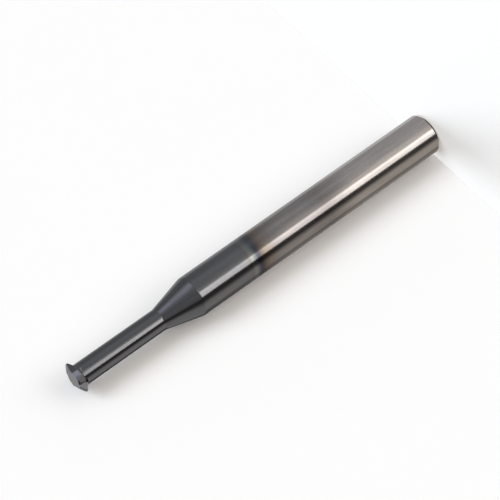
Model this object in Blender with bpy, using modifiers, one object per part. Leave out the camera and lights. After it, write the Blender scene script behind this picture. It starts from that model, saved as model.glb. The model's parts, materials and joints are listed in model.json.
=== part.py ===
"""Solid-carbide thread mill with one row of 60 degree teeth.

The tool is one ground piece. It stands on the flat end of its round shank, with the
axis along +Z, the shank end at z = 0 and the cutting head at the top. It cuts right-handed,
so the head turns anticlockwise when it is seen from above.
"""
import math

import bmesh
import bpy
from mathutils import Vector

mm = 0.001

# Lengths along the axis
OVERALL_LENGTH = 63.0 * mm
NECK_REACH = 14.5 * mm
COATED_LENGTH = 30.4 * mm

# Turned diameters
SHANK_DIAMETER = 6.0 * mm
NECK_DIAMETER = 3.2 * mm
CREST_DIAMETER = 4.65 * mm
FACE_DIAMETER = 2.8 * mm

# Edges and tapers
END_CHAMFER = 0.4 * mm
CONE_HALF_ANGLE = math.radians(14.0)
NECK_BLEND = 1.0 * mm
SHANK_BLEND = 1.0 * mm

# Thread profile and its teeth
TEETH = 4
PROFILE_ANGLE = math.radians(60.0)
CREST_FLAT = 0.08 * mm
ROOT_BLEND = 0.7 * mm
ROOT_STOCK = 0.07 * mm
RELIEF_ANGLE = math.radians(6.0)
RAKE_ANGLE = math.radians(18.5)

# Gashes between the teeth, each a V between a rake face and the heel wall of the next tooth
HEEL_WALL_OFFSET = 1.33 * mm
HEEL_WALL_TURN = math.radians(17.0)
GASH_FILLET = 0.2 * mm
GASH_PAST_CREST = 0.2 * mm
GRINDING_RADIUS = 0.5 * mm

# Number of facets round a turned face, and along a flank, a blend, a fillet and a run-out
TURN_STEPS = 96
FLANK_STEPS = 4
BLEND_STEPS = 4
FILLET_STEPS = 6
RUNOUT_STEPS = 8
SHARP_ANGLE = math.radians(25.0)

# How far a cutter or a joined shape reaches past the faces that it makes
MARGIN = 0.3 * mm
RAKE_STOCK = 0.02 * mm
SECTOR_OVERLAP = math.radians(5.0)
MERGE_DISTANCE = 0.001 * mm

# Radii and heights that follow from the sizes above
shank_radius = SHANK_DIAMETER / 2
neck_radius = NECK_DIAMETER / 2
crest_radius = CREST_DIAMETER / 2
face_radius = FACE_DIAMETER / 2
flank_slope = math.tan(PROFILE_ANGLE / 2)
crest_top = OVERALL_LENGTH - (crest_radius - face_radius) * flank_slope
crest_bottom = crest_top - CREST_FLAT
cone_top = OVERALL_LENGTH - NECK_REACH
cone_bottom = cone_top - (shank_radius - neck_radius) / math.tan(CONE_HALF_ANGLE)
coating_edge = OVERALL_LENGTH - COATED_LENGTH
relief_offset = crest_radius * math.tan(RELIEF_ANGLE)
rake_offset = crest_radius * math.sin(RAKE_ANGLE)
tooth_pitch = 2 * math.pi / TEETH
clear_of_head = 2 * crest_radius


def clear_scene():
    for thing in list(bpy.data.objects):
        bpy.data.objects.remove(thing, do_unlink=True)


def new_collection(name):
    collection = bpy.data.collections.new(name)
    bpy.context.scene.collection.children.link(collection)
    return collection


def direction(angle):
    """Level unit vector at an angle from +X."""
    return Vector((math.cos(angle), math.sin(angle), 0.0))


def at_height(height):
    return Vector((0.0, 0.0, height))


def spaced(first, last, steps):
    """Evenly spaced values from first to last, both included."""
    return [first + (last - first) * i / steps for i in range(steps + 1)]


def turned(name, profile, collection):
    """Body of revolution from (radius, height) points that run down its outer side.

    The turn starts half a step round, so that no edge of a facet lies on a rake face.
    """
    start = direction(math.pi / TURN_STEPS)
    points = [start * radius + at_height(height) for radius, height in profile]
    mesh = bpy.data.meshes.new(name)
    mesh.from_pydata(points, [(i, i + 1) for i in range(len(points) - 1)], [])
    body = bpy.data.objects.new(name, mesh)
    collection.objects.link(body)
    screw = body.modifiers.new("turn", "SCREW")
    screw.axis = "Z"
    screw.angle = 2 * math.pi
    screw.steps = TURN_STEPS
    screw.render_steps = TURN_STEPS
    screw.use_merge_vertices = True
    screw.merge_threshold = MERGE_DISTANCE
    return body


def swept(name, outline, path, collection):
    """Solid from a level outline, moved in turn to each place in path."""
    shape = bmesh.new()
    face = shape.faces.new([shape.verts.new(corner + path[0]) for corner in outline])
    for place, next_place in zip(path, path[1:]):
        grown = bmesh.ops.extrude_face_region(shape, geom=[face])["geom"]
        if place is not path[0]:
            bmesh.ops.delete(shape, geom=[face], context="FACES_ONLY")
        moved = [item for item in grown if isinstance(item, bmesh.types.BMVert)]
        bmesh.ops.translate(shape, vec=next_place - place, verts=moved)
        face = next(item for item in grown if isinstance(item, bmesh.types.BMFace))
    bmesh.ops.recalc_face_normals(shape, faces=shape.faces)
    mesh = bpy.data.meshes.new(name)
    shape.to_mesh(mesh)
    shape.free()
    solid = bpy.data.objects.new(name, mesh)
    collection.objects.link(solid)
    return solid


def blended(before, corner, after, radius):
    """Points of the arc that rounds a corner of a profile."""
    back = (Vector(before) - Vector(corner)).normalized()
    ahead = (Vector(after) - Vector(corner)).normalized()
    half_turn = (math.pi - back.angle(ahead)) / 2
    centre_way = (back + ahead).normalized()
    centre = Vector(corner) + centre_way * radius / math.cos(half_turn)
    across = (ahead - back).normalized()
    points = []
    for angle in spaced(-half_turn, half_turn, BLEND_STEPS):
        points.append(centre + (across * math.sin(angle) - centre_way * math.cos(angle)) * radius)
    return [tuple(point) for point in points]


def combine(body, other, operation):
    """Add, subtract or intersect another body, which then shows as wire only."""
    boolean = body.modifiers.new(other.name, "BOOLEAN")
    boolean.operation = operation
    boolean.solver = "EXACT"
    boolean.object = other
    other.hide_render = True
    other.display_type = "WIRE"


def make_blank(collection):
    """Shank, cone and neck, up to the thread's crest inside the head."""
    neck_start = (neck_radius, crest_top)
    neck_end = (neck_radius, cone_top)
    shank_start = (shank_radius, cone_bottom)
    coating_end = (shank_radius, coating_edge)
    profile = [(0.0, crest_top), neck_start]
    profile += blended(neck_start, neck_end, shank_start, NECK_BLEND)
    profile += blended(neck_end, shank_start, coating_end, SHANK_BLEND)
    profile += [
        coating_end,
        (shank_radius, END_CHAMFER),
        (shank_radius - END_CHAMFER, 0.0),
        (0.0, 0.0),
    ]
    return turned("thread_mill", profile, collection)


def tooth_profile():
    """The thread's V, for a turn about an axis that lies relief_offset beside the tool's axis.

    It has its true size on the rake face, where the relief starts.
    """
    top_radius = face_radius - MARGIN / flank_slope
    crest_edge = (crest_radius, crest_bottom)
    root_radius = neck_radius + ROOT_STOCK
    root = (root_radius, crest_bottom - (crest_radius - root_radius) * flank_slope)
    below_root = (root_radius - MARGIN, root[1] - 4 * MARGIN)
    flanks = []
    for radius in spaced(top_radius, crest_radius, FLANK_STEPS):
        flanks.append((radius, crest_top + (crest_radius - radius) * flank_slope))
    flanks += [crest_edge] + blended(crest_edge, root, below_root, ROOT_BLEND) + [below_root]
    points = [(math.hypot(radius, relief_offset), height) for radius, height in flanks]
    return [(0.0, points[0][1])] + points + [(0.0, points[-1][1])]


def rake_directions(index):
    """Along a tooth's rake face from the tool's middle outwards, and squarely ahead of that face."""
    angle = index * tooth_pitch - RAKE_ANGLE
    return direction(angle), direction(angle + math.pi / 2)


def make_tooth(index, cutters):
    """One tooth, whose crest and flanks fall away behind its cutting edge."""
    tip_angle = index * tooth_pitch
    along_face, forward = rake_directions(index)
    tooth = turned(f"tooth_{index + 1}", tooth_profile(), cutters)
    tooth.location = direction(tip_angle + math.pi / 2) * relief_offset

    # The tooth keeps its own sector, with a little stock on its rake face for the gash to grind off
    ahead = forward * (rake_offset + RAKE_STOCK)
    back_angle = tip_angle - tooth_pitch + RAKE_ANGLE - SECTOR_OVERLAP
    outline = [ahead - along_face * MARGIN, ahead + along_face * clear_of_head]
    for angle in spaced(tip_angle - RAKE_ANGLE, back_angle, 2):
        outline.append(direction(angle) * clear_of_head)
    outline.append(direction(back_angle) * -MARGIN)
    path = [at_height(OVERALL_LENGTH + clear_of_head), at_height(OVERALL_LENGTH - clear_of_head)]
    combine(tooth, swept(f"sector_{index + 1}", outline, path, cutters), "INTERSECT")
    return tooth


def gash_outline(index):
    """Section of the gash in front of a tooth: its rake face, the root fillet and the heel wall."""
    along_face, forward = rake_directions(index)
    turn = RAKE_ANGLE + HEEL_WALL_TURN
    wall_normal = along_face * math.cos(turn) + forward * math.sin(turn)
    along_wall = forward * math.cos(turn) - along_face * math.sin(turn)
    ahead = rake_offset + GASH_FILLET
    outwards = (HEEL_WALL_OFFSET + GASH_FILLET - ahead * math.sin(turn)) / math.cos(turn)
    centre = along_face * outwards + forward * ahead
    outline = []
    for angle in spaced(0.0, math.pi / 2 - turn, FILLET_STEPS):
        inwards = forward * math.cos(angle) + along_face * math.sin(angle)
        outline.append(centre - inwards * GASH_FILLET)
    wall_end = wall_normal * HEEL_WALL_OFFSET + along_wall * clear_of_head
    face_end = forward * rake_offset + along_face * clear_of_head
    return outline + [wall_end, wall_end + along_face * clear_of_head, face_end]


def make_gash(index, cutters):
    """The ground gash in front of one tooth, which runs out of the neck along an arc."""
    along_face, forward = rake_directions(index)
    depth = neck_radius - HEEL_WALL_OFFSET + MARGIN / 2
    path = [at_height(OVERALL_LENGTH + MARGIN)]
    for angle in spaced(0.0, math.acos(1 - depth / GRINDING_RADIUS), RUNOUT_STEPS):
        lift = GRINDING_RADIUS * (1 - math.cos(angle))
        travel = GASH_PAST_CREST + GRINDING_RADIUS * math.sin(angle)
        path.append(along_face * lift + at_height(crest_bottom - travel))
    return swept(f"gash_{index + 1}", gash_outline(index), path, cutters)


def make_facing(cutters):
    """Block above the front face, which faces off the head."""
    square = [direction(math.pi * (0.25 + 0.5 * i)) * clear_of_head for i in range(4)]
    path = [at_height(OVERALL_LENGTH + clear_of_head), at_height(OVERALL_LENGTH)]
    return swept("facing", square, path, cutters)


def make_material(name, colour, roughness):
    material = bpy.data.materials.new(name)
    material.use_nodes = True
    shader = material.node_tree.nodes["Principled BSDF"]
    shader.inputs["Base Color"].default_value = (*colour, 1.0)
    shader.inputs["Metallic"].default_value = 1.0
    shader.inputs["Roughness"].default_value = roughness
    material.diffuse_color = (*colour, 1.0)
    return material


def finish(body):
    """Fix the shape as a plain mesh, shade its turned faces smooth and give it its finishes."""
    evaluated = body.evaluated_get(bpy.context.evaluated_depsgraph_get())
    mesh = bpy.data.meshes.new_from_object(evaluated)
    body.modifiers.clear()
    body.data = mesh
    mesh.shade_smooth()
    mesh.set_sharp_from_angle(angle=SHARP_ANGLE)
    mesh.materials.clear()
    mesh.materials.append(make_material("coated_carbide", (0.10, 0.10, 0.12), 0.25))
    mesh.materials.append(make_material("bare_carbide", (0.42, 0.40, 0.39), 0.22))
    for polygon in mesh.polygons:
        polygon.material_index = 0 if polygon.center.z > coating_edge else 1


def main():
    clear_scene()
    parts = new_collection("thread_mill")
    cutters = new_collection("cutters")
    mill = make_blank(parts)
    for index in range(TEETH):
        combine(mill, make_tooth(index, cutters), "UNION")
    combine(mill, make_facing(cutters), "DIFFERENCE")
    for index in range(TEETH):
        combine(mill, make_gash(index, cutters), "DIFFERENCE")
    finish(mill)


main()
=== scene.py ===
"""Looks for the thread mill: a finely meshed tool, its ground and coated surface, and the studio.

The tool stands on the flat end of its shank, with its axis along +Z and its cutting head at the
top, as in the CAD model. Angles round the axis are counted from the camera's side of the tool,
and they are positive towards the side that lies uppermost in the picture.
"""

import json
import math

import bmesh
import bpy
from mathutils import Matrix, Vector

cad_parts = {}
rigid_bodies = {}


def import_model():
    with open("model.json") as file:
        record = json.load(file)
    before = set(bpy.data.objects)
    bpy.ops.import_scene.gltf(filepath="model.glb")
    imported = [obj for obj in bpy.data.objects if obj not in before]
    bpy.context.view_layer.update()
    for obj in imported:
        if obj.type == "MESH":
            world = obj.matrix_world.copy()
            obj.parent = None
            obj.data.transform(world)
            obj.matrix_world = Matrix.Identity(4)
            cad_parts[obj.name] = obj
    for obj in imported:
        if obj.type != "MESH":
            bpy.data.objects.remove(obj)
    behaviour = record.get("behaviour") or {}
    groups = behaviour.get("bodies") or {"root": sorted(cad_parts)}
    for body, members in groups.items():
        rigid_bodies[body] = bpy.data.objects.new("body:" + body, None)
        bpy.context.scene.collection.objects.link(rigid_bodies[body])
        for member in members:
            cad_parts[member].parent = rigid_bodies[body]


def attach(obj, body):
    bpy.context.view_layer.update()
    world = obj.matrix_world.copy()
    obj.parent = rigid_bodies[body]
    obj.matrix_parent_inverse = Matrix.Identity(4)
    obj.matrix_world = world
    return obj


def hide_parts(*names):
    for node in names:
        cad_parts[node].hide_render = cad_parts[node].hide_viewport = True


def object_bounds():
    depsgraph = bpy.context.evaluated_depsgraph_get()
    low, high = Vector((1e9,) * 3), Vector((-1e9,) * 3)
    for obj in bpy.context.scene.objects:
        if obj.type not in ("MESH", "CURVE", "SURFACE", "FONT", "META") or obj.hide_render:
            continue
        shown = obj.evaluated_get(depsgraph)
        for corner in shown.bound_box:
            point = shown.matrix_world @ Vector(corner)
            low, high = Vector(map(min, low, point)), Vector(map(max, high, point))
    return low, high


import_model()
cad_low, cad_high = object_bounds()

mm = 0.001
NODE = "thread_mill"

# The tool, as the CAD model has it
OVERALL_LENGTH = cad_high.z
SHANK_RADIUS = min(cad_high.x, cad_high.y, -cad_low.x, -cad_low.y)
NECK_RADIUS = 1.6 * mm
CREST_RADIUS = 2.325 * mm
FACE_RADIUS = 1.4 * mm
NECK_REACH = 14.5 * mm
COATED_LENGTH = 30.4 * mm
END_CHAMFER = 0.4 * mm
CONE_HALF_ANGLE = math.radians(14.0)
NECK_BLEND = 1.0 * mm
SHANK_BLEND = 1.0 * mm
TEETH = 4
PROFILE_ANGLE = math.radians(60.0)
CREST_FLAT = 0.08 * mm
RELIEF_ANGLE = math.radians(6.0)
ROOT_BLEND = 0.7 * mm
ROOT_STOCK = 0.07 * mm
RAKE_LEAN = math.radians(18.5)
HEEL_WALL_OFFSET = 1.33 * mm
HEEL_WALL_TURN = math.radians(17.0)
GASH_FILLET = 0.2 * mm
GASH_PAST_CREST = 0.2 * mm
GRINDING_RADIUS = 0.5 * mm

# Fineness of the mesh
TURN_STEPS = 192
FLANK_STEPS = 6
FILLET_STEPS = 10
BLEND_STEPS = 8
RUNOUT_STEPS = 16
SHARP_ANGLE = math.radians(12.0)
MARGIN = 0.3 * mm
RAKE_STOCK = 0.02 * mm
SECTOR_OVERLAP = math.radians(5.0)
MERGE_DISTANCE = 0.001 * mm
SHORT_NECK = 2.5 * mm

# The camera, which looks at a point near the middle of the axis
IMAGE_SIZE = 500
SENSOR_WIDTH = 36.0
FOCAL_PIXELS = 2562.0
CAMERA_DISTANCE = 345.0 * mm
CAMERA_AZIMUTH = math.radians(-110.0)
CAMERA_TILT = math.radians(23.0)
CAMERA_ROLL = math.radians(34.98)
AIM_HEIGHT = 32.05 * mm
AIM_ASIDE = 0.665 * mm

# The photograph's white surface touches the back of the shank. This is its normal's angle
SURFACE_TURN = math.radians(25.9)

# Radii, heights and directions that follow from the values above
flank_slope = math.tan(PROFILE_ANGLE / 2)
crest_top = OVERALL_LENGTH - (CREST_RADIUS - FACE_RADIUS) * flank_slope
crest_bottom = crest_top - CREST_FLAT
cone_top = OVERALL_LENGTH - NECK_REACH
cone_bottom = cone_top - (SHANK_RADIUS - NECK_RADIUS) / math.tan(CONE_HALF_ANGLE)
coating_edge = OVERALL_LENGTH - COATED_LENGTH
relief_offset = CREST_RADIUS * math.tan(RELIEF_ANGLE)
rake_offset = CREST_RADIUS * math.sin(RAKE_LEAN)
tooth_pitch = 2 * math.pi / TEETH
clear_of_head = 2 * CREST_RADIUS
camera_aside = Vector((-math.sin(CAMERA_AZIMUTH), math.cos(CAMERA_AZIMUTH), 0.0))


def direction(angle):
    """Level unit vector at an angle from +X."""
    return Vector((math.cos(angle), math.sin(angle), 0.0))


def at_height(height):
    return Vector((0.0, 0.0, height))


def spaced(first, last, steps):
    """Evenly spaced values from first to last, both included."""
    return [first + (last - first) * i / steps for i in range(steps + 1)]


# Shapes

def turned(name, profile, collection):
    """Body of revolution from (radius, height) points that run down its outer side."""
    start = direction(math.pi / TURN_STEPS)
    points = [start * radius + at_height(height) for radius, height in profile]
    mesh = bpy.data.meshes.new(name)
    mesh.from_pydata(points, [(i, i + 1) for i in range(len(points) - 1)], [])
    body = bpy.data.objects.new(name, mesh)
    collection.objects.link(body)
    screw = body.modifiers.new("turn", "SCREW")
    screw.axis = "Z"
    screw.angle = 2 * math.pi
    screw.steps = TURN_STEPS
    screw.render_steps = TURN_STEPS
    screw.use_merge_vertices = True
    screw.merge_threshold = MERGE_DISTANCE
    return body


def swept(name, outline, path, collection):
    """Solid from a level outline, moved in turn to each place in path."""
    shape = bmesh.new()
    face = shape.faces.new([shape.verts.new(corner + path[0]) for corner in outline])
    for place, next_place in zip(path, path[1:]):
        grown = bmesh.ops.extrude_face_region(shape, geom=[face])["geom"]
        if place is not path[0]:
            bmesh.ops.delete(shape, geom=[face], context="FACES_ONLY")
        moved = [item for item in grown if isinstance(item, bmesh.types.BMVert)]
        bmesh.ops.translate(shape, vec=next_place - place, verts=moved)
        face = next(item for item in grown if isinstance(item, bmesh.types.BMFace))
    bmesh.ops.recalc_face_normals(shape, faces=shape.faces)
    mesh = bpy.data.meshes.new(name)
    shape.to_mesh(mesh)
    shape.free()
    solid = bpy.data.objects.new(name, mesh)
    collection.objects.link(solid)
    return solid


def combine(body, other, operation):
    boolean = body.modifiers.new(other.name, "BOOLEAN")
    boolean.operation = operation
    boolean.solver = "EXACT"
    boolean.object = other


def blended(before, corner, after, radius):
    """Points of the arc that rounds a corner of a profile."""
    back = (Vector(before) - Vector(corner)).normalized()
    ahead = (Vector(after) - Vector(corner)).normalized()
    half_turn = (math.pi - back.angle(ahead)) / 2
    centre_way = (back + ahead).normalized()
    centre = Vector(corner) + centre_way * radius / math.cos(half_turn)
    across = (ahead - back).normalized()
    points = []
    for angle in spaced(-half_turn, half_turn, BLEND_STEPS):
        points.append(centre + (across * math.sin(angle) - centre_way * math.cos(angle)) * radius)
    return [tuple(point) for point in points]


def make_blank(collection):
    """Shank, cone and neck, with the small blends that the wheel leaves at the cone's two ends."""
    neck_end = (NECK_RADIUS, cone_top)
    shank_end = (SHANK_RADIUS, cone_bottom)
    below_head = (NECK_RADIUS, crest_bottom - SHORT_NECK)
    profile = [(0.0, crest_top), (NECK_RADIUS, crest_top), below_head]
    profile += blended(profile[-1], neck_end, shank_end, NECK_BLEND)
    profile += blended(neck_end, shank_end, (SHANK_RADIUS, coating_edge), SHANK_BLEND)
    profile += [(SHANK_RADIUS, END_CHAMFER), (SHANK_RADIUS - END_CHAMFER, 0.0), (0.0, 0.0)]
    return turned("ground_tool", profile, collection)


def tooth_profile():
    """The thread's V, for a turn about an axis that lies relief_offset beside the tool's axis."""
    top_radius = FACE_RADIUS - MARGIN / flank_slope
    root_radius = NECK_RADIUS + ROOT_STOCK
    root = (root_radius, crest_bottom - (CREST_RADIUS - root_radius) * flank_slope)
    crest = (CREST_RADIUS, crest_bottom)
    below = (root_radius - MARGIN, root[1] - 4 * MARGIN)
    flanks = []
    for radius in spaced(top_radius, CREST_RADIUS, FLANK_STEPS):
        flanks.append((radius, crest_top + (CREST_RADIUS - radius) * flank_slope))
    flanks += [crest] + blended(crest, root, below, ROOT_BLEND) + [below]
    points = [(math.hypot(radius, relief_offset), height) for radius, height in flanks]
    return [(0.0, points[0][1])] + points + [(0.0, points[-1][1])]


def rake_directions(index):
    """Along a tooth's rake face from the axis outwards, and squarely ahead of that face."""
    along = index * tooth_pitch - RAKE_LEAN
    return direction(along), direction(along + math.pi / 2)


def make_tooth(index, cutters):
    """One tooth, whose crest and flanks fall away behind its cutting edge."""
    edge, forward = rake_directions(index)
    tooth = turned(f"tooth_{index + 1}", tooth_profile(), cutters)
    tooth.location = direction(index * tooth_pitch + math.pi / 2) * relief_offset
    ahead = forward * (rake_offset + RAKE_STOCK)
    back_angle = (index - 1) * tooth_pitch + RAKE_LEAN - SECTOR_OVERLAP
    outline = [ahead - edge * MARGIN, ahead + edge * clear_of_head]
    for angle in spaced(index * tooth_pitch - RAKE_LEAN, back_angle, 2):
        outline.append(direction(angle) * clear_of_head)
    outline.append(direction(back_angle) * -MARGIN)
    path = [at_height(OVERALL_LENGTH + clear_of_head), at_height(OVERALL_LENGTH - clear_of_head)]
    combine(tooth, swept(f"sector_{index + 1}", outline, path, cutters), "INTERSECT")
    return tooth


def gash_outline(index):
    """Section of the gash in front of a tooth: its rake face, the root fillet and the heel wall."""
    edge, forward = rake_directions(index)
    wall_turn = RAKE_LEAN + HEEL_WALL_TURN
    wall_normal = edge * math.cos(wall_turn) + forward * math.sin(wall_turn)
    along_wall = forward * math.cos(wall_turn) - edge * math.sin(wall_turn)
    centre_ahead = rake_offset + GASH_FILLET
    centre_out = (HEEL_WALL_OFFSET + GASH_FILLET - centre_ahead * math.sin(wall_turn)) / math.cos(wall_turn)
    centre = edge * centre_out + forward * centre_ahead
    wall_end = wall_normal * HEEL_WALL_OFFSET + along_wall * clear_of_head
    outline = []
    for angle in spaced(0.0, math.pi / 2 - wall_turn, FILLET_STEPS):
        outline.append(centre - (forward * math.cos(angle) + edge * math.sin(angle)) * GASH_FILLET)
    return outline + [wall_end, wall_end + edge * clear_of_head,
                      forward * rake_offset + edge * clear_of_head]


def make_gash(index, cutters):
    """The ground gash in front of one tooth, which runs out of the neck along an arc."""
    edge, forward = rake_directions(index)
    depth = NECK_RADIUS - HEEL_WALL_OFFSET + MARGIN / 2
    path = [at_height(OVERALL_LENGTH + MARGIN)]
    for angle in spaced(0.0, math.acos(1 - depth / GRINDING_RADIUS), RUNOUT_STEPS):
        lift = GRINDING_RADIUS * (1 - math.cos(angle))
        travel = GASH_PAST_CREST + GRINDING_RADIUS * math.sin(angle)
        path.append(edge * lift + at_height(crest_bottom - travel))
    return swept(f"gash_{index + 1}", gash_outline(index), path, cutters)


def make_facing(cutters):
    square = [direction(math.pi * (0.25 + 0.5 * i)) * clear_of_head for i in range(4)]
    path = [at_height(OVERALL_LENGTH + clear_of_head), at_height(OVERALL_LENGTH)]
    return swept("facing", square, path, cutters)


def make_tool():
    """The whole tool as one fixed mesh, with the shapes that cut it taken away again."""
    cutters = bpy.data.collections.new("cutters")
    bpy.context.scene.collection.children.link(cutters)
    tool = make_blank(bpy.context.scene.collection)
    for index in range(TEETH):
        combine(tool, make_tooth(index, cutters), "UNION")
    combine(tool, make_facing(cutters), "DIFFERENCE")
    for index in range(TEETH):
        combine(tool, make_gash(index, cutters), "DIFFERENCE")
    evaluated = tool.evaluated_get(bpy.context.evaluated_depsgraph_get())
    mesh = bpy.data.meshes.new_from_object(evaluated)
    tool.modifiers.clear()
    tool.data = mesh
    for cutter in list(cutters.objects):
        bpy.data.objects.remove(cutter, do_unlink=True)
    bpy.data.collections.remove(cutters)
    mesh.shade_smooth()
    mesh.set_sharp_from_angle(angle=SHARP_ANGLE)
    mesh.materials.clear()
    return tool


# Materials

class Net:
    """Adds nodes to one node tree and joins them up."""

    def __init__(self, tree):
        self.tree = tree

    def add(self, kind, inputs=(), **settings):
        node = self.tree.nodes.new(kind)
        for name, value in settings.items():
            setattr(node, name, value)
        for key, value in dict(inputs).items():
            self.put(node.inputs[key], value)
        return node

    def put(self, socket, value):
        if isinstance(value, bpy.types.NodeSocket):
            self.tree.links.new(value, socket)
        else:
            socket.default_value = value

    def math(self, operation, a, b=0.0):
        return self.add("ShaderNodeMath", {0: a, 1: b}, operation=operation).outputs[0]

    def smooth(self, value, low, high, to_low=0.0, to_high=1.0):
        """Eases from to_low to to_high as value goes from low to high."""
        inputs = {"Value": value, "From Min": low, "From Max": high, "To Min": to_low, "To Max": to_high}
        return self.add("ShaderNodeMapRange", inputs, interpolation_type="SMOOTHSTEP").outputs[0]

    def mix(self, factor, a, b):
        node = self.add("ShaderNodeMix", data_type="RGBA")
        for key, value in (("Factor_Float", factor), ("A_Color", a), ("B_Color", b)):
            self.put(next(s for s in node.inputs if s.identifier == key), value)
        return next(s for s in node.outputs if s.identifier == "Result_Color")

    def noise(self, place, stretch, scale, detail=2.0, roughness=0.5):
        """Noise over the object's own coordinates, stretched along each axis."""
        stretched = self.add("ShaderNodeVectorMath", {0: place, 1: stretch}, operation="MULTIPLY")
        inputs = {"Vector": stretched.outputs[0], "Scale": scale, "Detail": detail, "Roughness": roughness}
        return self.add("ShaderNodeTexNoise", inputs).outputs["Fac"]

    def ramp(self, value, stops, interpolation="EASE"):
        node = self.add("ShaderNodeValToRGB", {0: value})
        node.color_ramp.interpolation = interpolation
        elements = node.color_ramp.elements
        for _ in range(len(stops) - len(elements)):
            elements.new(0.5)
        for element, (position, colour) in zip(elements, stops):
            element.position = position
            element.color = (*colour, 1.0)
        return node.outputs["Color"]


# The coating's edge slants a little across this direction. On that side a painted haze of reflected light
# mutes the tints and lightens the dark band
EDGE_SLANT = 0.07
EDGE_SLANT_TURN = math.radians(-20.0)
PAINTED_HAZE_SHARE = 0.6
PAINTED_HAZE_FROM = 0.3 * mm
PAINTED_HAZE_TO = 1.6 * mm

# Colours along the shank, by the distance in mm from the edge of the coating towards the shank end
RAMP_START = -4.0
RAMP_END = 32.0
FINISH_COLOURS = [
    (-4.0, (0.225, 0.222, 0.226)),
    (-2.2, (0.228, 0.222, 0.222)),
    (-1.6, (0.230, 0.214, 0.203)),
    (-1.1, (0.295, 0.295, 0.275)),
    (-0.7, (0.195, 0.215, 0.205)),
    (-0.35, (0.105, 0.112, 0.142)),
    (-0.05, (0.090, 0.080, 0.092)),
    (0.3, (0.140, 0.114, 0.104)),
    (0.7, (0.215, 0.172, 0.142)),
    (1.3, (0.285, 0.235, 0.195)),
    (2.2, (0.305, 0.265, 0.245)),
    (3.0, (0.325, 0.300, 0.288)),
    (5.0, (0.365, 0.332, 0.316)),
    (9.0, (0.350, 0.322, 0.312)),
    (12.4, (0.310, 0.282, 0.269)),
    (14.5, (0.370, 0.340, 0.322)),
    (17.5, (0.458, 0.422, 0.395)),
    (32.0, (0.462, 0.426, 0.400)),
]
# Film colours under a painted haze of reflected light, for the side that lies uppermost in the picture
FILM_COLOURS_WITH_PAINTED_HAZE = [
    (-4.0, (0.225, 0.222, 0.226)),
    (-0.6, (0.195, 0.205, 0.205)),
    (0.2, (0.175, 0.165, 0.168)),
    (1.3, (0.275, 0.226, 0.190)),
    (3.0, (0.330, 0.295, 0.268)),
    (5.0, (0.365, 0.332, 0.316)),
    (9.0, (0.350, 0.322, 0.312)),
    (12.4, (0.310, 0.282, 0.269)),
    (14.5, (0.370, 0.340, 0.322)),
    (17.5, (0.458, 0.422, 0.395)),
    (32.0, (0.462, 0.426, 0.400)),
]


def carbide_material():
    """Ground carbide: a dark film over the head, neck, cone and front of the shank, then bare metal.

    The film thins out over the edge of the coating, where it shows bands of tint.
    """
    material = bpy.data.materials.new("ground_carbide")
    material.use_nodes = True
    net = Net(material.node_tree)
    shader = material.node_tree.nodes["Principled BSDF"]
    place = net.add("ShaderNodeTexCoord").outputs["Object"]
    height = net.add("ShaderNodeSeparateXYZ", {0: place}).outputs["Z"]

    # The film's edge wavers a little round the shank
    waver = net.noise(place, (1.0, 1.0, 0.3), 500.0)
    wavering = net.math("MULTIPLY", net.math("SUBTRACT", waver, 0.5), 0.30 * mm)
    inputs = {0: place, 1: direction(EDGE_SLANT_TURN)}
    aside = net.add("ShaderNodeVectorMath", inputs, operation="DOT_PRODUCT").outputs["Value"]
    edge_height = net.math("SUBTRACT", coating_edge, net.math("MULTIPLY", aside, EDGE_SLANT))
    past_edge = net.math("ADD", net.math("SUBTRACT", edge_height, height), wavering)
    share = net.smooth(past_edge, RAMP_START * mm, RAMP_END * mm)
    share.node.interpolation_type = "LINEAR"
    ramps = []
    for colours in (FINISH_COLOURS, FILM_COLOURS_WITH_PAINTED_HAZE):
        stops = [((at - RAMP_START) / (RAMP_END - RAMP_START), colour) for at, colour in colours]
        ramps.append(net.ramp(share, stops, "LINEAR"))
    # Painted haze of reflected light: on the side that lies uppermost in the picture, the film's colour
    # blends into a copy with muted tints and a lighter dark band
    painted_haze = net.smooth(aside, PAINTED_HAZE_FROM, PAINTED_HAZE_TO, 0.0, PAINTED_HAZE_SHARE)
    film = net.mix(painted_haze, ramps[0], ramps[1])
    bareness = net.smooth(past_edge, 0.5 * mm, 6.0 * mm)

    # Long streaks from the drawing and grinding, and fine specks, both stronger on bare metal
    streaks = net.noise(place, (1.0, 1.0, 0.025), 900.0, 3.0, 0.6)
    specks = net.noise(place, (1.0, 1.0, 0.8), 5200.0, 2.0, 0.6)
    blotches = net.noise(place, (1.0, 1.0, 0.10), 1500.0, 2.0, 0.6)
    uneven = net.math("SUBTRACT", net.math("ADD", streaks, blotches), 1.0)
    streak_depth = net.smooth(bareness, 0.0, 1.0, 0.18, 0.52)
    streaked = net.math("MULTIPLY", uneven, streak_depth)
    speckled = net.math("MULTIPLY", net.math("SUBTRACT", specks, 0.5), 0.26)
    level = net.math("ADD", net.math("ADD", streaked, speckled), 1.0)
    shade = net.add("ShaderNodeVectorMath", {0: film, "Scale": level}, operation="SCALE").outputs[0]
    net.put(shader.inputs["Base Color"], shade)

    # Roughness and the fine rings of the grinding wheel
    rings = net.noise(place, (0.05, 0.05, 1.0), 6500.0, 3.0, 0.6)
    grain = net.smooth(rings, 0.2, 0.8, 0.125, 0.175)
    net.put(shader.inputs["Roughness"], grain)
    bump = net.add("ShaderNodeBump", {"Height": rings, "Strength": 0.06, "Distance": 0.01 * mm})
    net.put(shader.inputs["Normal"], bump.outputs[0])
    shader.inputs["Metallic"].default_value = 1.0
    return material


# Studio

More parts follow.
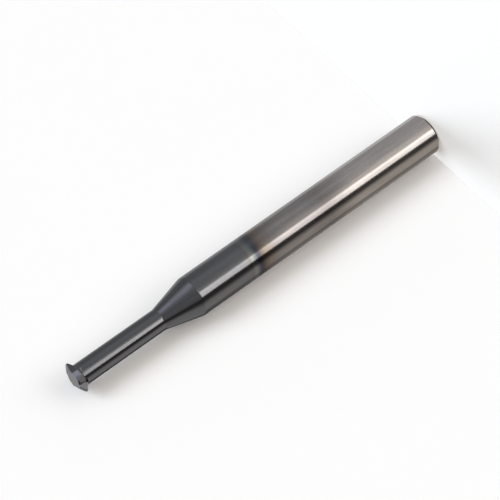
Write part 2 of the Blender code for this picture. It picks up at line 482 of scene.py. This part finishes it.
def camera_frame():
    """The camera's place and its right, up and backward directions."""
    towards = direction(CAMERA_AZIMUTH)
    aside = at_height(1.0).cross(towards)
    back = towards * math.cos(CAMERA_TILT) + at_height(math.sin(CAMERA_TILT))
    down_axis = (at_height(-1.0) + back * math.sin(CAMERA_TILT)).normalized()
    right = down_axis * math.cos(CAMERA_ROLL) - aside * math.sin(CAMERA_ROLL)
    up = down_axis * math.sin(CAMERA_ROLL) + aside * math.cos(CAMERA_ROLL)
    place = at_height(AIM_HEIGHT) + aside * AIM_ASIDE + back * CAMERA_DISTANCE
    return place, right, up, back


def make_camera():
    place, right, up, back = camera_frame()
    data = bpy.data.cameras.new("camera")
    data.sensor_width = SENSOR_WIDTH
    data.lens = FOCAL_PIXELS / IMAGE_SIZE * SENSOR_WIDTH
    data.clip_start = 0.01
    camera = bpy.data.objects.new("camera", data)
    bpy.context.scene.collection.objects.link(camera)
    camera.matrix_world = Matrix.Translation(place) @ Matrix((right, up, back)).transposed().to_4x4()
    bpy.context.scene.camera = camera


# What surrounds the tool: (angles round it, their softness, heights above level, their softness,
# colour, strength), in degrees
SURROUNDINGS = [
    ("upper wall", (-10, 150), (24, 30), (-95, 60), (1, 20), (0.94, 0.99, 1.08), 0.195),
    ("upper wall, low", (-10, 150), (24, 30), (-95, -24), (1, 7), (1.00, 1.00, 1.01), 0.265),
    ("upper glow", (22, 68), (36, 36), (-95, 40), (1, 20), (0.96, 1.00, 1.05), 0.11),
    ("softbox", (-32, -3.5), (4, 9), (-64, -17.9), (10, 4.5), (1.0, 0.99, 0.99), 1.98),
    ("softbox, middle", (-32, -4), (4, 7), (-21.4, -19.2), (1.5, 1.5), (1.0, 0.99, 0.99), 0.50),
    ("softbox edge", (-12, 12), (8, 34), (-64, -4), (10, 6), (1.0, 0.99, 0.97), 0.15),
    ("softbox edge, low", (-12, 22), (8, 34), (-64, -23.5), (10, 5), (1.10, 1.0, 0.88), 0.40),
    ("lit from the head's side", (0, 10), (3, 4), (-17.4, -12), (1.5, 4), (0.98, 1.0, 1.0), 1.40),
    ("wall above softbox", (-36, -8), (10, 16), (-4, 60), (6, 20), (0.95, 0.96, 1.08), 0.19),
    ("lower bounce, high", (-150, -66), (40, 30), (-12, 14), (8, 20), (1.0, 0.98, 0.98), 0.40),
    ("lower bounce", (-122, -66), (32, 30), (-23, -12), (6, 8), (1.0, 0.98, 0.96), 0.45),
    ("lower bounce, low", (-116, -64), (40, 30), (-95, -23), (1, 6), (1.04, 0.99, 0.92), 0.51),
    ("paper below", (-154, -132), (6, 24), (-95, -22), (1, 8), (1.06, 1.0, 0.92), 0.36),
    ("far surface", (128, 196), (24, 30), (-40, 95), (30, 1), (1.0, 0.99, 0.97), 0.36),
    ("far surface, high", (135, 205), (30, 20), (2, 60), (16, 20), (0.93, 0.99, 1.10), 0.26),
    ("overhead", (-150, 210), (1, 1), (62, 95), (16, 1), (0.87, 0.98, 1.20), 0.56),
    ("cool window", (40, 72), (26, 26), (-4, 30), (10, 20), (0.90, 0.92, 1.22), 0.32),
    ("underside", (-150, 210), (1, 1), (-95, -80), (1, 8), (1.0, 1.0, 1.0), 0.35),
]
ROOM_COLOUR = (1.0, 0.97, 0.97)
ROOM_LEVEL = 0.058


def make_world():
    """White where the camera looks past the tool, and the studio in everything the tool reflects."""
    world = bpy.data.worlds.new("studio")
    world.use_nodes = True
    bpy.context.scene.world = world
    net = Net(world.node_tree)
    ray = net.add("ShaderNodeTexCoord").outputs["Generated"]
    inputs = {"Vector": ray, "Angle": -CAMERA_AZIMUTH}
    turned_ray = net.add("ShaderNodeVectorRotate", inputs, rotation_type="Z_AXIS").outputs[0]
    parts = net.add("ShaderNodeSeparateXYZ", {0: turned_ray}).outputs
    around = net.math("DEGREES", net.math("ARCTAN2", parts["Y"], parts["X"]))
    around = net.add("ShaderNodeMath", {0: around, 1: 210.0, 2: -150.0}, operation="WRAP").outputs[0]
    rise = net.math("DEGREES", net.math("ARCSINE", parts["Z"]))
    total = tuple(part * ROOM_LEVEL for part in ROOM_COLOUR)
    for name, span, span_soft, heights, height_soft, colour, strength in SURROUNDINGS:
        mask = strength
        for value, (low, high), (low_soft, high_soft) in (
            (around, span, span_soft),
            (rise, heights, height_soft),
        ):
            start = net.smooth(value, low - low_soft / 2, low + low_soft / 2)
            stop = net.smooth(value, high - high_soft / 2, high + high_soft / 2, 1.0, 0.0)
            mask = net.math("MULTIPLY", net.math("MULTIPLY", start, stop), mask)
        lit = net.add("ShaderNodeVectorMath", {0: colour, "Scale": mask}, operation="SCALE").outputs[0]
        total = net.add("ShaderNodeVectorMath", {0: total, 1: lit}, operation="ADD").outputs[0]
    seen = net.add("ShaderNodeLightPath").outputs["Is Camera Ray"]
    colour = net.mix(seen, total, (1.0, 1.0, 1.0, 1.0))
    background = world.node_tree.nodes["Background"]
    net.put(background.inputs["Color"], colour)


# White paper: (albedo, own light), which come to white together where no shadow falls
BACKDROP_PAPER = (0.9, 0.078)
FLOOR_PAPER = (0.47, 0.373)
OWN_LIGHT_COLOUR = (1.08, 1.0, 0.90, 1.0)


def paper_material(name, albedo, own_light):
    """White paper that takes the shadow, seen from its front only."""
    material = bpy.data.materials.new(name)
    material.use_nodes = True
    tree = material.node_tree
    tree.nodes.clear()
    net = Net(tree)
    place = net.add("ShaderNodeTexCoord").outputs["Object"]
    mottle = net.smooth(net.noise(place, (1.0, 1.0, 1.0), 60.0), 0.3, 0.7)
    plain = (albedo, albedo, albedo, 1.0)
    duller = (albedo * 0.998, albedo * 0.998, albedo * 0.996, 1.0)
    colour = net.mix(mottle, duller, plain)
    diffuse = net.add("ShaderNodeBsdfDiffuse", {"Color": colour}).outputs[0]
    glow = net.add("ShaderNodeEmission", {"Color": OWN_LIGHT_COLOUR, "Strength": own_light}).outputs[0]
    lit = net.add("ShaderNodeAddShader", {0: diffuse, 1: glow}).outputs[0]
    clear = net.add("ShaderNodeBsdfTransparent").outputs[0]
    behind = net.add("ShaderNodeNewGeometry").outputs["Backfacing"]
    mixed = net.add("ShaderNodeMixShader", {0: behind, 1: lit, 2: clear}).outputs[0]
    net.add("ShaderNodeOutputMaterial", {"Surface": mixed})
    return material


def make_card(name, corners, material):
    mesh = bpy.data.meshes.new(name)
    mesh.from_pydata(corners, [], [tuple(range(len(corners)))])
    card = bpy.data.objects.new(name, mesh)
    bpy.context.scene.collection.objects.link(card)
    mesh.materials.append(material)
    card.visible_diffuse = False
    card.visible_glossy = False
    card.visible_transmission = False
    card.visible_shadow = False
    return card


BACKDROP_REACH = 0.6
surface_normal = direction(CAMERA_AZIMUTH + SURFACE_TURN)
surface_aside = at_height(1.0).cross(surface_normal)


def make_stage():
    """The white surface behind the tool, and the floor that the tool stands on."""
    back = surface_normal * -SHANK_RADIUS
    left = back + surface_aside * BACKDROP_REACH
    right = back - surface_aside * BACKDROP_REACH
    above = at_height(BACKDROP_REACH)
    backdrop = make_card("backdrop", [right, left, left + above, right + above],
                         paper_material("backdrop_paper", *BACKDROP_PAPER))
    square = [direction(math.pi * (0.25 + 0.5 * i)) * BACKDROP_REACH for i in range(4)]
    floor = make_card("floor", square, paper_material("floor_paper", *FLOOR_PAPER))
    return backdrop, floor


# Lamps for the upright paper: (lean of the light from the surface's normal towards the picture's
# upper side and towards the head, how soft it is in degrees, colour, strength)
LAMPS = [
    ("key", (0.62, 1.10), 32.0, (0.90, 1.00, 1.10), 0.35),
    ("fill", (0.00, 0.0), 100.0, (1.24, 1.00, 0.70), 0.167),
]

# The floor's lamp shines from behind the upright paper, so it doesn't light that paper
FLOOR_LAMP_BEHIND = 1.5
FLOOR_LAMP_HEIGHT = 0.55
FLOOR_LAMP_SOFTNESS = 42.0
FLOOR_LAMP_COLOUR = (0.92, 0.99, 1.06)
FLOOR_LAMP_LEVEL = 0.56


def make_lamp(name, way, softness, colour, energy):
    data = bpy.data.lights.new(name, "SUN")
    data.angle = math.radians(softness)
    data.color = colour
    data.energy = energy
    lamp = bpy.data.objects.new(name, data)
    bpy.context.scene.collection.objects.link(lamp)
    lamp.rotation_mode = "QUATERNION"
    lamp.rotation_quaternion = way.to_track_quat("Z", "Y")
    lamp.visible_glossy = False


def make_lamps():
    """Suns for the white paper, so that it takes the tool's shadow."""
    for name, (lean_up, lean_head), softness, colour, level in LAMPS:
        way = (surface_normal + surface_aside * lean_up + at_height(lean_head)).normalized()
        make_lamp(name, way, softness, colour, level * math.pi / way.dot(surface_normal))
    behind = (camera_aside - direction(CAMERA_AZIMUTH) * FLOOR_LAMP_BEHIND).normalized()
    way = (behind + at_height(FLOOR_LAMP_HEIGHT)).normalized()
    energy = FLOOR_LAMP_LEVEL * math.pi / way.z
    make_lamp("floor_lamp", way, FLOOR_LAMP_SOFTNESS, FLOOR_LAMP_COLOUR, energy)


def main():
    bpy.context.scene.view_settings.view_transform = "Standard"
    tool = make_tool()
    tool.data.materials.append(carbide_material())
    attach(tool, "root")
    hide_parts(NODE)
    make_camera()
    make_world()
    make_stage()
    make_lamps()


main()
